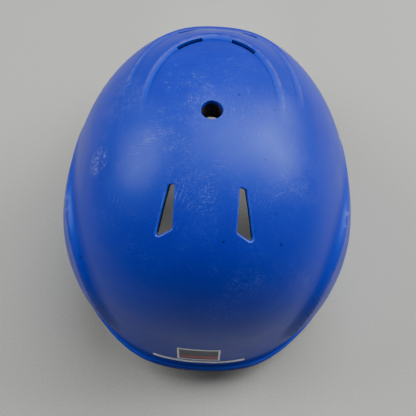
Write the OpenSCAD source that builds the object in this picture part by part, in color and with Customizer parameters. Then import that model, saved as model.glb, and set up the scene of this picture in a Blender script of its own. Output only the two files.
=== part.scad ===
// Batting helmet: double ear flap shell, bill, foam liner blocks and comfort pads.
// Frame: +Z up, bill toward -Y, origin on the ground midway between the ear flaps.
// Units are millimetres. The helmet stands level on the flat ends of its ear flaps.

/* [Shell] */
// half width of the bare dome, without the ear bosses
half_width = 105; // [101:0.5:107]
// dome centre to the bare front wall
front_length = 122.5; // [118:0.5:126]
// dome centre to the back wall
back_length = 121; // [117:0.5:125]
// height of the widest line of the dome above the ground
widest_z = 93; // [90:1:96]
// height of the crown above the widest line
dome_height = 114; // [108:1:118]
// shell wall thickness
wall = 3.5; // [3:0.25:4]
// how square the front half is seen from above, 2 is an ellipse
front_squareness = 2.12; // [2:0.01:2.4]
// how square the back half is seen from above
back_squareness = 2.32; // [2:0.01:2.5]

/* [Bill and rims] */
// bill reach in front of the brow
bill_reach = 47; // [42:1:56]
// downward slope of the bill in degrees
bill_slope = 8; // [4:1:12]
// height of the bill root at the centre
bill_root_z = 78; // [74:1:80]
// how far the flared lip of the back rim stands out
back_lip = 3.2; // [2.5:0.1:4.5]
// height of the back rim
back_rim_z = 34.8; // [33:0.1:38]

/* [Front steps] */
// rise of each front step
step_rise = 3.3; // [2:0.1:4]
// upper step, distance in front of the crown centre
upper_step_reach = 70; // [67:0.5:73]
// upper step, half width
upper_step_half = 42.5; // [40:0.5:45]
// lower step, distance in front of the crown centre
lower_step_reach = 98; // [94:0.5:101]
// lower step, half width
lower_step_half = 57; // [54:0.5:60]

/* [Ear bosses] */
// how far each boss stands out from the dome
boss_rise = 5.5; // [4:0.25:6.5]
// height of the top of the boss
boss_top_z = 136; // [132:1:139]
// radius of the ear opening in the shell
ear_hole_r = 16; // [14:0.5:18]
// height of the ear opening
ear_hole_z = 42; // [40:1:45]

/* [Vents] */
// radius of the round crown hole
crown_hole_r = 7; // [6:0.25:7.5]
// crown hole, distance behind the dome centre
crown_hole_back = 4.5; // [3:0.5:7]
// rear vent, distance of its narrow end behind the centre
vent_near = 53; // [51:0.5:55]
// rear vent, distance of its wide end behind the centre
vent_far = 78; // [76:0.5:80]
// rear vent, distance of its inner edge from the midline
vent_inner = 20.2; // [18:0.1:22]
// rear vent, width of the narrow end
vent_narrow = 4; // [3.5:0.5:6]
// rear vent, width of the wide end
vent_wide = 10.5; // [9:0.5:12]
// width of the four thin front slots
slot_width = 3.8; // [3:0.1:4.2]

/* [Liner] */
// thickness of the foam liner blocks
liner_thick = 15; // [12:0.5:16]
// gap between neighbouring foam blocks in degrees of azimuth
liner_gap = 4; // [3:0.5:6]
// thickness of the fabric covered comfort pads
pad_thick = 7; // [5:0.5:8]
// thickness of the hook-and-loop patches
patch_thick = 1.2; // [1:0.1:1.5]

/* [Hidden] */

shell_blue = "#2350c0";
foam_grey = "#6e6b66";
fabric_black = "#1c1c20";
patch_black = "#101012";
badge_white = "#e8e8ea";

crown_power = 0.95;        // slightly flat crown
side_taper = 0.066;        // how much the flaps close in by the ground
corner_start = [106, 139];   // azimuths over which the sides turn into the corners
corner_stop = [140, 164];   // and the corners into the nape
corner_taper = 0.009;      // how much the corners behind the ears close in
back_taper = -0.023;        // the nape flares out a little towards its rim
fit = 0.3;                 // clearance between nested pieces
flap_overrun = 1.5;        // the flaps are cut flat at z = 0 after running past it
bill_half_angle = 57;      // the bill ends at this azimuth
bill_edge_power = 3.2;
bill_fillet = 8;
flap_lip = 1.6;            // small rolled lip along the ear flap edges
flap_front = [50, 76];     // azimuths over which the flap's front edge drops
flap_back = [103, 134];       // azimuths over which its back edge climbs
bill_droop = 10;           // the bill root is this much lower at its ends
bill_turn = 0.3;           // the bill points this share of the azimuth away from straight ahead
bill_ends = [44, 66];      // azimuths over which the bill turns back into the rim lip
corner_lip = 1.9;          // lip at the corners behind the ears
boss_centre = 100;         // azimuth of the boss centre
boss_half_angle = 48;
boss_centre_z = 36;
boss_power = 2.6;
boss_ramp = [73, 126];     // the boss grows from its front share to full over these azimuths
boss_front_share = 0.15;
boss_fade_round = [112, 140];  // behind the ear the boss dies away towards the rim,
boss_fade_up = [34, 84];       // between these heights
boss_riser = 0.09;
step_width = 6;
upper_step_fade = [-6, 30];  // both steps die away over these distances from the centre
lower_step_fade = [10, 42];
step_side_fade = [2, 100];  // and towards the sides of the dome
upper_slot_span = [10, 26];  // distances of the slot ends from the midline
lower_slot_span = [17, 28];
slot_corner = 1.5;         // radius of the slot ends
cut_depth = 60;            // length of every cutter that runs through the shell
ring = 0.3;                // first ring of grid points round the crown, degrees
sticker_gap = 0.05;
sticker_out = 0.4;
badge_top = 75;
badge_bottom = 50;
stripe_top = 47;
stripe_bottom = 43.5;

// ---------- small helpers ----------
function blend01(a, b, x) =
    let (t = max(0, min(1, (x - a) / (b - a)))) t * t * (3 - 2 * t);
function unit(v) = v / norm(v);
function spread(a, b, n) = [for (i = [0 : n]) a + (b - a) * i / n];
function fold(a) = abs(a > 180 ? a - 360 : a);   // azimuth folded to 0..180

// ---------- the dome surface ----------
// azimuth a: 0 = front, 90 = right-hand +X side, 180 = back
// level v: 0..90 runs from the crown to the widest line, then 1 mm down per unit
function plan_r(a) =
    let (n = cos(a) > 0 ? front_squareness : back_squareness)
    pow(pow(abs(cos(a)) / (cos(a) > 0 ? front_length : back_length), n)
        + pow(abs(sin(a)) / half_width, n), -1 / n);
// a quantity that goes from its side value to its corner value and on to its back value
function rounding(a, side, corner, back) = side
    + (corner - side) * blend01(corner_start[0], corner_start[1], fold(a))
    + (back - corner) * blend01(corner_stop[0], corner_stop[1], fold(a));
function taper(a) = rounding(a, side_taper, corner_taper, back_taper);
function level_z(v) = v <= 90 ? widest_z + dome_height * cos(v) : widest_z - (v - 90);
function level_r(a, v) = v <= 90
    ? plan_r(a) * pow(sin(v), crown_power)
    : plan_r(a) * (1 - taper(a) * pow((v - 90) / widest_z, 2));
function bare(a, v) = let (r = level_r(a, v)) [r * sin(a), -r * cos(a), level_z(v)];
function z_level(z) = z < widest_z ? 90 + widest_z - z : acos((z - widest_z) / dome_height);
function bare_normal(a, v) =
    let (s = 0.05, du = bare(a + s, v) - bare(a - s, v),
         dv = bare(a, v + s) - bare(a, max(0.01, v - s)))
    unit(cross(dv, du));
// level of the dome point above the plan position x, y
function plan_level(x, y) =
    asin(pow(norm([x, y]) / plan_r(atan2(x, -y)), 1 / crown_power));

// ---------- raised front steps and ear bosses ----------
function step_at(p, reach, half, fade) =
    let (f = -p[1], e = norm([f / reach, p[0] / half]), d = norm([f, p[0]]) * (1 - 1 / max(e, 0.01)))
    step_rise * blend01(0, step_width, d) * blend01(fade[0], fade[1], f);
function boss_at(a, z) =
    let (e = pow(pow(abs(fold(a) - boss_centre) / boss_half_angle, boss_power)
                 + pow(max(0, z - boss_centre_z) / (boss_top_z - boss_centre_z), boss_power),
                 1 / boss_power),
         t = max(0, min(1, (e - 1) / boss_riser)))
    boss_rise * (1 - t) * (1 - t)
    * (boss_front_share + (1 - boss_front_share) * blend01(boss_ramp[0], boss_ramp[1], fold(a)))
    * (1 - blend01(boss_fade_round[0], boss_fade_round[1], fold(a))
           * (1 - blend01(boss_fade_up[0], boss_fade_up[1], z)));
function rise(a, v) =
    let (p = bare(a, v))
    (step_at(p, upper_step_reach, upper_step_half, upper_step_fade)
     + step_at(p, lower_step_reach, lower_step_half, lower_step_fade))
        * (1 - blend01(step_side_fade[0], step_side_fade[1], abs(p[0])))
    + boss_at(a, p[2]);
// shell surface, moved inwards by depth along the dome's own normal
function skin(a, v, depth) = bare(a, v) + bare_normal(a, v) * (rise(a, v) - depth);
// the outside of a foam block: as close to the shell as its neighbourhood allows
function tucked(a, v, depth) =
    let (low = min([for (da = [-4, 0, 4], dv = [-4, 0, 4]) rise(a + da, max(ring, v + dv))]))
    bare(a, v) + bare_normal(a, v) * (low - depth);
function smooth(a, v, depth) = bare(a, v) - bare_normal(a, v) * depth;

// ---------- rim ----------
function bill_at(a) = let (t = fold(a) / bill_half_angle)
    t >= 1 ? 0 : bill_reach * pow(1 - pow(t, bill_edge_power), 0.9);
function lip_at(a) = rounding(a, flap_lip, corner_lip, back_lip);
function flange(a) = max(bill_at(a), lip_at(a));
function fillet(a) = min(bill_fillet, 0.7 * flange(a));
function slope_at(a) = bill_slope * blend01(bill_half_angle + 4, bill_half_angle - 15, fold(a));
function rim_z(a) = let (b = fold(a))
    b < 90 ? (bill_root_z - bill_droop * pow(b / flap_front[0], 2) * (b < flap_front[0] ? 1 : pow(flap_front[0] / b, 2))
              + flap_overrun) * (1 - blend01(flap_front[0], flap_front[1], b)) - flap_overrun
           : (back_rim_z + flap_overrun) * blend01(flap_back[0], flap_back[1], b) - flap_overrun;
function wall_end(a) = z_level(rim_z(a) + fillet(a));

// the way the flange points: along the wall's normal, but forwards along the bill
function flange_way(a) =
    let (n = bare_normal(a, wall_end(a)), b = fold(a),
         turn = sign(sin(a)) * b * (bill_turn + (1 - bill_turn) * blend01(bill_ends[0], bill_ends[1], b)),
         flat = norm([n[0], n[1]]), w = blend01(bill_ends[1], bill_ends[0], b))
    unit(n * (1 - w) + [sin(turn) * flat, -cos(turn) * flat, n[2]] * w);

// the flange curls outwards from the end of the wall: k = 0..1
function rim_point(a, k, depth) =
    let (v = wall_end(a), down = unit(bare(a, v + 0.1) - bare(a, v)),
         r = fillet(a), last = 90 - slope_at(a),
         arc = min(1, 2 * k) * last,
         straight = max(0, 2 * k - 1) * (flange(a) - r * (1 - cos(last))) / sin(last))
    skin(a, v, 0)
    + flange_way(a) * (r - (r + depth) * cos(arc) + straight * sin(last))
    + down * ((r + depth) * sin(arc) + straight * cos(last));

// the whole helmet is shifted so that its bounding box is centred on the origin
front_y = min(rim_point(0, 1, 0)[1], rim_point(0, 1, wall)[1]);
back_y = max(rim_point(180, 1, 0)[1], rim_point(180, 1, wall)[1],
             smooth(180, z_level(badge_top), -sticker_out)[1]);
module centred() translate([0, -(front_y + back_y) / 2, 0]) children();

// ---------- closed solids over the surface ----------
// rows: list of rings from the crown outwards, outer skin first, same length each
function quads(n_rows, n_cols, base, flip) =
    [for (i = [0 : n_rows - 2], j = [0 : n_cols - 1])
        let (k = (j + 1) % n_cols, a = base + i * n_cols + j, b = base + i * n_cols + k,
             c = a + n_cols, d = b + n_cols)
        each (flip ? [[a, c, b], [b, c, d]] : [[a, b, c], [b, d, c]])];

// a full cap or band round the crown
module full_shell(outer, inner) {
    n_rows = len(outer);
    n_cols = len(outer[0]);
    m = n_rows * n_cols;
    pts = concat([for (r = outer) each r], [for (r = inner) each r]);
    rim = [for (j = [0 : n_cols - 1])
        let (k = (j + 1) % n_cols, a = m - n_cols + j, b = m - n_cols + k)
        each [[a, b, a + m], [b, b + m, a + m]]];
    top = [[for (j = [n_cols - 1 : -1 : 0]) j], [for (j = [0 : n_cols - 1]) m + j]];
    polyhedron(pts, concat(quads(n_rows, n_cols, 0, false), quads(n_rows, n_cols, m, true),
                           rim, top), convexity = 12);
}

// a block between two azimuths and two levels, outside and inside depth, with eased inner edges;
// hug = true lets its outer face follow the raised parts of the shell
module block(azimuths, levels, outside, inside, cols, rows, ease = 2, hug = false) {
    nc = cols + 1;
    m = (rows + 1) * nc;
    grid = [for (v = spread(levels[0], levels[1], rows), a = spread(azimuths[0], azimuths[1], cols))
            [a, v]];
    function on_edge(k) = k < nc || k >= m - nc || k % nc == 0 || k % nc == cols;
    pts = concat([for (g = grid) hug ? tucked(g[0], g[1], outside) : smooth(g[0], g[1], outside)],
                 [for (k = [0 : m - 1]) smooth(grid[k][0], grid[k][1], inside - (on_edge(k) ? ease : 0))]);
    faces = concat(
        [for (i = [0 : rows - 1], j = [0 : cols - 1])
            let (a = i * nc + j, b = a + 1, c = a + nc, d = c + 1)
            each [[a, b, c], [b, d, c], [a + m, c + m, b + m], [b + m, c + m, d + m]]],
        [for (j = [0 : cols - 1]) let (a = j, b = j + 1) each [[a, a + m, b], [b, a + m, b + m]]],
        [for (j = [0 : cols - 1]) let (a = rows * nc + j, b = a + 1) each [[a, b, a + m], [b, b + m, a + m]]],
        [for (i = [0 : rows - 1]) let (a = i * nc, c = a + nc) each [[a, c, a + m], [c, c + m, a + m]]],
        [for (i = [0 : rows - 1]) let (a = i * nc + cols, c = a + nc) each [[a, a + m, c], [c, a + m, c + m]]]);
    polyhedron(pts, faces, convexity = 8);
}

shell_cols = let (half = concat(spread(0, 48, 8), [for (a = spread(48, 72, 9)) if (a > 48) a],
                                [for (a = spread(72, 108, 5)) if (a > 72) a],
                                [for (a = spread(108, 144, 8)) if (a > 108) a],
                                [for (a = spread(144, 180, 6)) if (a > 144) a]),
                  n = len(half))
    concat(half, [for (i = [n - 2 : -1 : 1]) 360 - half[i]]);
dome_levels = concat([ring, 4], spread(9, 90, 19));
wall_rows = 6;
rim_rows = [1/6, 1/3, 1/2, 3/4, 1];

function shell_rows(depth) = concat(
    [for (v = dome_levels) [for (a = shell_cols) skin(a, v, depth)]],
    [for (i = [1 : wall_rows]) [for (a = shell_cols)
        skin(a, 90 + (wall_end(a) - 90) * i / wall_rows, depth)]],
    [for (k = rim_rows) [for (a = shell_cols) rim_point(a, k, depth)]]);

module outer_shell() color(shell_blue) difference() {
    full_shell(shell_rows(0), shell_rows(wall));
    translate([-200, -200, -20]) cube([400, 400, 20]);
    crown_cut(crown_hole_r);
    for (side = [-1, 1]) {
        vent_cut(side, 0);
        slot_cut(side, upper_step_reach, upper_step_half, upper_slot_span);
        slot_cut(side, lower_step_reach, lower_step_half, lower_slot_span);
        ear_cut(side, ear_hole_r);
    }
}

// ---------- cutters ----------
module crown_cut(r) translate([0, crown_hole_back, widest_z + dome_height - cut_depth])
    cylinder(r = r, h = 2 * cut_depth, $fn = 48);

module ear_cut(side, r) translate([side * half_width, 0, ear_hole_z])
    rotate([0, 90, 0]) cylinder(r = r, h = 2 * cut_depth, center = true, $fn = 64);

// an outline given by plan positions is cut square to the surface at its middle
module plan_cut(points, grow) {
    mid = [for (i = [0, 1]) [for (p = points) p[i]] * [for (p = points) 1] / len(points)];
    a = atan2(mid[0], -mid[1]);
    v = plan_level(mid[0], mid[1]);
    origin = bare(a, v);
    n = bare_normal(a, v);
    ex = unit(cross([0, 0, 1], n));
    ey = cross(n, ex);
    flat = [for (p = points)
        let (q = bare(atan2(p[0], -p[1]), plan_level(p[0], p[1])) - origin) [q * ex, q * ey]];
    multmatrix([[ex[0], ey[0], n[0], origin[0]], [ex[1], ey[1], n[1], origin[1]],
                [ex[2], ey[2], n[2], origin[2]], [0, 0, 0, 1]])
        translate([0, 0, -cut_depth / 2]) linear_extrude(cut_depth)
            offset(r = 1.2 + grow, $fn = 20) offset(delta = -1.2) polygon(flat);
}

module vent_cut(side, grow) plan_cut([
    [side * vent_inner, vent_near],
    [side * (vent_inner + vent_narrow), vent_near + 1],
    [side * (vent_inner + vent_wide), vent_far + 3],
    [side * vent_inner, vent_far - 1]], grow);

// a slot follows the foot of a step between two distances from the midline, cut straight down
module slot_cut(side, reach, half, span) {
    inner = [for (x = spread(span[0], span[1], 5)) [side * x, -(reach - 1) * sqrt(1 - pow(x / half, 2))]];
    outer = [for (i = [5 : -1 : 0]) inner[i] + unit(inner[i]) * slot_width];
    translate([0, 0, widest_z]) linear_extrude(2 * dome_height)
        offset(r = slot_corner, $fn = 20) offset(delta = -slot_corner) polygon(concat(inner, outer));
}

// ---------- foam liner ----------
liner_out = wall + fit;
liner_in = wall + liner_thick;
crown_block_end = 46;          // level where the crown block stops
lower_block_start = 49;        // level where the blocks round it start
brow_z = 90;                   // lower edges of the blocks
side_z = 88;
nape_z = 56;
flap_foam_in = wall + 12;
side_start = 52;               // azimuths where the side blocks meet the front and rear ones
side_end = 129;
crown_grow = 0.4;              // the foam's crown hole is this much larger than the shell's
opening_grow = 3;              // the foam openings are this much larger than the shell's

crown_block_levels = concat([ring], spread(7, crown_block_end, 7));
crown_block_cols = spread(0, 355, 71);

module liner_crown() color(foam_grey) difference() {
    full_shell([for (v = crown_block_levels) [for (a = crown_block_cols) tucked(a, v, liner_out)]],
               [for (v = crown_block_levels) [for (a = crown_block_cols) smooth(a, v, liner_in)]]);
    crown_cut(crown_hole_r + crown_grow);
    for (side = [-1, 1]) {
        vent_cut(side, opening_grow);
        slot_cut(side, upper_step_reach, upper_step_half, upper_slot_span);
        slot_cut(side, lower_step_reach, lower_step_half, lower_slot_span);
    }
}
module liner_front() color(foam_grey)
    block([liner_gap / 2 - side_start, side_start - liner_gap / 2],
          [lower_block_start, z_level(brow_z)], liner_out, liner_in, 14, 7, hug = true);
module liner_left() color(foam_grey)
    block([side_start + liner_gap / 2, side_end - liner_gap / 2],
          [lower_block_start, z_level(side_z)], liner_out, liner_in, 10, 7, hug = true);
module liner_right() mirror([1, 0, 0]) liner_left();
module liner_rear() color(foam_grey)
    block([side_end + liner_gap / 2, 360 - side_end - liner_gap / 2],
          [lower_block_start, z_level(nape_z)], liner_out, liner_in, 14, 10, hug = true);

module flap_foam() color(foam_grey) difference() {
    block([69, 113], [z_level(side_z - 3), z_level(9)], liner_out, flap_foam_in, 8, 8, hug = true);
    ear_cut(1, ear_hole_r + 3);
}
module flap_foam_left() flap_foam();
module flap_foam_right() mirror([1, 0, 0]) flap_foam();

// ---------- comfort pads ----------
pad_out = liner_in + patch_thick + fit;
pad_in = pad_out + pad_thick;
ear_pad_out = flap_foam_in + fit;

module pad(azimuths, levels, cols, rows) color(fabric_black)
    block(azimuths, levels, pad_out, pad_in, cols, rows);

module brow_pad() pad([-44, 44], [76, z_level(90)], 12, 4);
module temple_pad_left() pad([60, 118], [66, 92], 8, 4);
module temple_pad_right() mirror([1, 0, 0]) temple_pad_left();
module nape_pad() pad([148, 212], [88, z_level(60)], 8, 5);
module crown_pad_left() pad([56, 124], [15, 43], 8, 4);
module crown_pad_right() mirror([1, 0, 0]) crown_pad_left();

module ear_pad_left() color(fabric_black) difference() {
    block([72, 110], [z_level(80), z_level(13)], ear_pad_out, ear_pad_out + pad_thick, 7, 8);
    ear_cut(1, ear_hole_r + 6);
}
module ear_pad_right() mirror([1, 0, 0]) ear_pad_left();

module patch(azimuths, levels) block(azimuths, levels, liner_in + 0.05, liner_in + 0.05 + patch_thick, 2, 2, 0);
module hook_patches() color(patch_black) for (side = [0, 1]) mirror([side, 0, 0]) {
    patch([20, 30], [80, 90]);
    patch([84, 96], [74, 84]);
    patch([158, 168], [98, 112]);
    patch([82, 98], [24, 34]);
}

// ---------- stickers on the back ----------
module sticker(azimuths, levels, cols) color(badge_white)
    block(azimuths, levels, -sticker_out, -sticker_gap, cols, 2, 0);
module rear_badge() sticker([172.5, 187.5], [z_level(badge_top), z_level(badge_bottom)], 6);
module rear_stripe() sticker([163.5, 196.5], [z_level(stripe_top), z_level(stripe_bottom)], 12);

centred() outer_shell();
centred() liner_crown();
centred() liner_front();
centred() liner_left();
centred() liner_right();
centred() liner_rear();
centred() flap_foam_left();
centred() flap_foam_right();
centred() brow_pad();
centred() temple_pad_left();
centred() temple_pad_right();
centred() nape_pad();
centred() crown_pad_left();
centred() crown_pad_right();
centred() ear_pad_left();
centred() ear_pad_right();
centred() hook_patches();
centred() rear_badge();
centred() rear_stripe();
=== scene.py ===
"""Looks for the batting helmet: a fine shell, moulded foam, sewn pads and plain stickers."""
import math

import bmesh
import bpy
import numpy as np
from mathutils import Matrix, Vector
from mathutils.bvhtree import BVHTree


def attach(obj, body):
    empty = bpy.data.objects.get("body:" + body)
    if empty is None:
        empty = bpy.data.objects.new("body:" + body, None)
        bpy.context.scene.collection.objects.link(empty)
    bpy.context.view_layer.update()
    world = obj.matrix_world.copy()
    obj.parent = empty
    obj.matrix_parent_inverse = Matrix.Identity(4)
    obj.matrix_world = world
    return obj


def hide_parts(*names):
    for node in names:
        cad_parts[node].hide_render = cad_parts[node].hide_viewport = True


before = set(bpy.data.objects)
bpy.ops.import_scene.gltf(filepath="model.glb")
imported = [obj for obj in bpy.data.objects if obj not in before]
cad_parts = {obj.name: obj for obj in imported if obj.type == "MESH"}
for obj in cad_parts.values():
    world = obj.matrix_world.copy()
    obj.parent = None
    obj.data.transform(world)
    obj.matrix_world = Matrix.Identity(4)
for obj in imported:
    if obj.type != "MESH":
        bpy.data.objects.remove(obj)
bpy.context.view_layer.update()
MM = 0.001

# ---------------------------------------------------------------- dimensions, as in the CAD source
HALF_WIDTH, FRONT_LENGTH, BACK_LENGTH = 105.0, 122.5, 121.0
WIDEST_Z, DOME_HEIGHT, WALL = 93.0, 114.0, 3.5
FRONT_SQUARE, BACK_SQUARE, CROWN_POWER = 2.12, 2.32, 0.95
BILL_REACH, BILL_SLOPE, BILL_ROOT_Z, BACK_LIP, BACK_RIM_Z = 47.0, 8.0, 78.0, 3.2, 34.8
STEP_RISE = 3.3
UPPER_STEP, LOWER_STEP = (70.0, 42.5), (98.0, 57.0)
UPPER_FADE, LOWER_FADE, SIDE_FADE = (-6.0, 30.0), (10.0, 42.0), (2.0, 100.0)
BOSS_RISE, BOSS_TOP_Z, BOSS_CENTRE, BOSS_HALF, BOSS_CENTRE_Z = 5.5, 136.0, 100.0, 48.0, 36.0
BOSS_POWER, BOSS_RAMP, BOSS_FRONT_SHARE = 2.6, (73.0, 126.0), 0.15
BOSS_FADE_ROUND, BOSS_FADE_UP = (112.0, 140.0), (34.0, 84.0)
SIDE_TAPER, CORNER_TAPER, BACK_TAPER = 0.066, 0.009, -0.023
CORNER_START, CORNER_STOP = (106.0, 139.0), (140.0, 164.0)
FLAP_LIP, CORNER_LIP = 1.6, 1.9
FLAP_FRONT, FLAP_BACK, FLAP_OVERRUN = (50.0, 76.0), (103.0, 134.0), 1.5
BILL_DROOP, BILL_TURN, BILL_ENDS, BILL_HALF = 10.0, 0.3, (44.0, 66.0), 57.0
BILL_EDGE_POWER, BILL_TIP_POWER, BILL_FILLET, FILLET_SHARE = 3.2, 0.9, 8.0, 0.7
BILL_SLOPE_EASE = (4.0, 15.0)          # degrees beyond and inside the bill's end
EAR_HOLE_R, EAR_HOLE_Z, CROWN_HOLE_R, CROWN_HOLE_BACK = 16.0, 42.0, 7.0, 4.5
VENT_NEAR, VENT_FAR, VENT_INNER, VENT_NARROW, VENT_WIDE = 53.0, 78.0, 20.2, 4.0, 10.5
SLOT_WIDTH, UPPER_SLOT, LOWER_SLOT = 3.8, (10.0, 26.0), (17.0, 28.0)
OPENING_GROW, CROWN_GROW = 3.0, 0.4
LINER_THICK, FLAP_FOAM_THICK, FIT, PATCH, PAD_THICK = 15.0, 12.0, 0.3, 1.2, 7.0
BADGE_TOP, BADGE_BOTTOM, STRIPE_TOP, STRIPE_BOTTOM = 75.0, 50.0, 47.0, 43.5
STICKER_OUT, STICKER_GAP = 0.4, 0.05
# the visible edges are crisper here than in the CAD mesh
STEP_WIDTH, STEP_POWER, BOSS_RISER = 4.2, 1.35, 0.07
# radii that round the mouths of the holes, vents and slots
CROWN_EDGE, EAR_EDGE, VENT_EDGE, SLOT_EDGE = 0.9, 1.2, 1.2, 0.5
LINER_OUT, LINER_IN, FLAP_IN = WALL + FIT, WALL + LINER_THICK, WALL + FLAP_FOAM_THICK
# the foam's mesh: its pitch, its thinnest edge and what a degree is worth along each way
FOAM_GRID, FOAM_EDGE, MM_PER_AZIMUTH, MM_PER_LEVEL = 1.6, 1.2, 1.8, 1.5
SHELL_CUT, FOAM_CUT = 26.0, 40.0       # how deep the vent and slot cutters reach
HOLE_CUT = 40.0                        # how far the round cutters reach inwards
CROWN_RING = 0.3                       # the crown's first ring, in degrees


# ---------------------------------------------------------------- the surface
def blend01(a, b, x):
    t = np.clip((x - a) / (b - a), 0, 1)
    return t * t * (3 - 2 * t)


def cosd(x):
    return np.cos(np.radians(x))


def sind(x):
    return np.sin(np.radians(x))


def fold(a):
    """The azimuth from straight ahead, from 0 to 180 on either side."""
    a = np.mod(a, 360.0)
    return np.where(a > 180, 360 - a, a)


def other_side(azimuths):
    return 360 - azimuths[1], 360 - azimuths[0]


def plan_r(a):
    """The radius of the widest outline at azimuth a, 0 being straight ahead."""
    c, s = cosd(a), np.abs(sind(a))
    length = np.where(c > 0, FRONT_LENGTH, BACK_LENGTH)
    n = np.where(c > 0, FRONT_SQUARE, BACK_SQUARE)
    return ((np.abs(c) / length) ** n + (s / HALF_WIDTH) ** n) ** (-1 / n)


def rounding(a, side, corner, back):
    return (side + (corner - side) * blend01(*CORNER_START, fold(a))
            + (back - corner) * blend01(*CORNER_STOP, fold(a)))


def bare(a, v):
    """The plain surface: v runs from 0 at the crown to 90 at the widest line, and down the sides in mm."""
    a, v = np.broadcast_arrays(np.asarray(a, float), np.asarray(v, float))
    dome = v <= 90
    vv = np.clip(v, 1e-6, 90)
    taper = rounding(a, SIDE_TAPER, CORNER_TAPER, BACK_TAPER)
    r = np.where(dome, plan_r(a) * sind(vv) ** CROWN_POWER,
                 plan_r(a) * (1 - taper * ((v - 90) / WIDEST_Z) ** 2))
    z = np.where(dome, WIDEST_Z + DOME_HEIGHT * cosd(vv), WIDEST_Z - (v - 90))
    return np.stack([r * sind(a), -r * cosd(a), z], -1)


def unit(v):
    return v / np.linalg.norm(v, axis=-1, keepdims=True)


def normal(a, v, s=0.05):
    a, v = np.broadcast_arrays(np.asarray(a, float), np.asarray(v, float))
    down = bare(a, v + s) - bare(a, np.maximum(0.01, v - s))
    return unit(np.cross(down, bare(a + s, v) - bare(a - s, v)))


def step_distance(p, shape):
    """Distance outside a step's foot line, seen from above."""
    e = np.hypot(p[..., 1] / shape[0], p[..., 0] / shape[1])
    return np.hypot(p[..., 1], p[..., 0]) * (1 - 1 / np.maximum(e, 0.01))


def step(p, shape, fade):
    t = np.clip(step_distance(p, shape) / STEP_WIDTH, 0, 1)
    return STEP_RISE * t ** STEP_POWER * blend01(*fade, -p[..., 1])


def boss_edge(a, z):
    """1 on the crest of the ear boss, less inside it, more outside it."""
    across = np.abs(fold(a) - BOSS_CENTRE) / BOSS_HALF
    up = np.maximum(0, z - BOSS_CENTRE_Z) / (BOSS_TOP_Z - BOSS_CENTRE_Z)
    return (across ** BOSS_POWER + up ** BOSS_POWER) ** (1 / BOSS_POWER)


def boss(a, z):
    t = np.clip((boss_edge(a, z) - 1) / BOSS_RISER, 0, 1)
    grow = BOSS_FRONT_SHARE + (1 - BOSS_FRONT_SHARE) * blend01(*BOSS_RAMP, fold(a))
    fade = blend01(*BOSS_FADE_ROUND, fold(a)) * (1 - blend01(*BOSS_FADE_UP, z))
    return BOSS_RISE * (1 - t) ** 2 * grow * (1 - fade)


def rise(a, v):
    """How far the steps and bosses stand above the plain surface."""
    p = bare(a, v)
    return ((step(p, UPPER_STEP, UPPER_FADE) + step(p, LOWER_STEP, LOWER_FADE))
            * (1 - blend01(*SIDE_FADE, np.abs(p[..., 0]))) + boss(a, p[..., 2]))


def skin(a, v, depth=0.0):
    """The raised surface, or one at a depth below it."""
    return bare(a, v) + normal(a, v) * (rise(a, v) - depth)[..., None]


def smooth(a, v, depth):
    """A surface at a depth below the plain one."""
    return bare(a, v) - normal(a, v) * np.asarray(depth)[..., None]


def tucked(a, v, depth):
    """A surface below the lowest raised surface nearby, so that foam clears every step."""
    near = (-4, 0, 4)
    low = np.min([rise(a + da, np.maximum(CROWN_RING, v + dv)) for da in near for dv in near], axis=0)
    return bare(a, v) + normal(a, v) * (low - depth)[..., None]


def z_level(z):
    """The level v at a height."""
    z = np.asarray(z, float)
    return np.where(z < WIDEST_Z, 90 + WIDEST_Z - z,
                    np.degrees(np.arccos(np.clip((z - WIDEST_Z) / DOME_HEIGHT, -1, 1))))


def plan_level(x, y):
    """The level v of the dome above a point in plan."""
    share = np.hypot(x, y) / plan_r(np.degrees(np.arctan2(x, -y)))
    return np.degrees(np.arcsin(np.clip(share, 0, 0.9999) ** (1 / CROWN_POWER)))


def flange(a):
    """How far the bill or the rim lip stands out."""
    t = np.clip(fold(a) / BILL_HALF, 0, 1)
    bill = np.where(t >= 1, 0, BILL_REACH * np.maximum(0, 1 - t ** BILL_EDGE_POWER) ** BILL_TIP_POWER)
    return np.maximum(bill, rounding(a, FLAP_LIP, CORNER_LIP, BACK_LIP))


def fillet(a):
    return np.minimum(BILL_FILLET, FILLET_SHARE * flange(a))


def rim_z(a):
    b = fold(a)
    front = ((BILL_ROOT_Z - BILL_DROOP * (np.minimum(b, FLAP_FRONT[0]) / FLAP_FRONT[0]) ** 2 + FLAP_OVERRUN)
             * (1 - blend01(*FLAP_FRONT, b)) - FLAP_OVERRUN)
    back = (BACK_RIM_Z + FLAP_OVERRUN) * blend01(*FLAP_BACK, b) - FLAP_OVERRUN
    return np.where(b < 90, front, back)


def wall_end(a):
    """The level where the wall starts to turn out into the bill or lip."""
    return z_level(rim_z(a) + fillet(a))


def flange_way(a):
    n, b = normal(a, wall_end(a)), fold(a)
    turn = np.sign(sind(a)) * b * (BILL_TURN + (1 - BILL_TURN) * blend01(*BILL_ENDS, b))
    flat = np.hypot(n[..., 0], n[..., 1])
    w = blend01(BILL_ENDS[1], BILL_ENDS[0], b)[..., None]
    ahead = np.stack([sind(turn) * flat, -cosd(turn) * flat, n[..., 2]], -1)
    return unit(n * (1 - w) + ahead * w)


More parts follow.
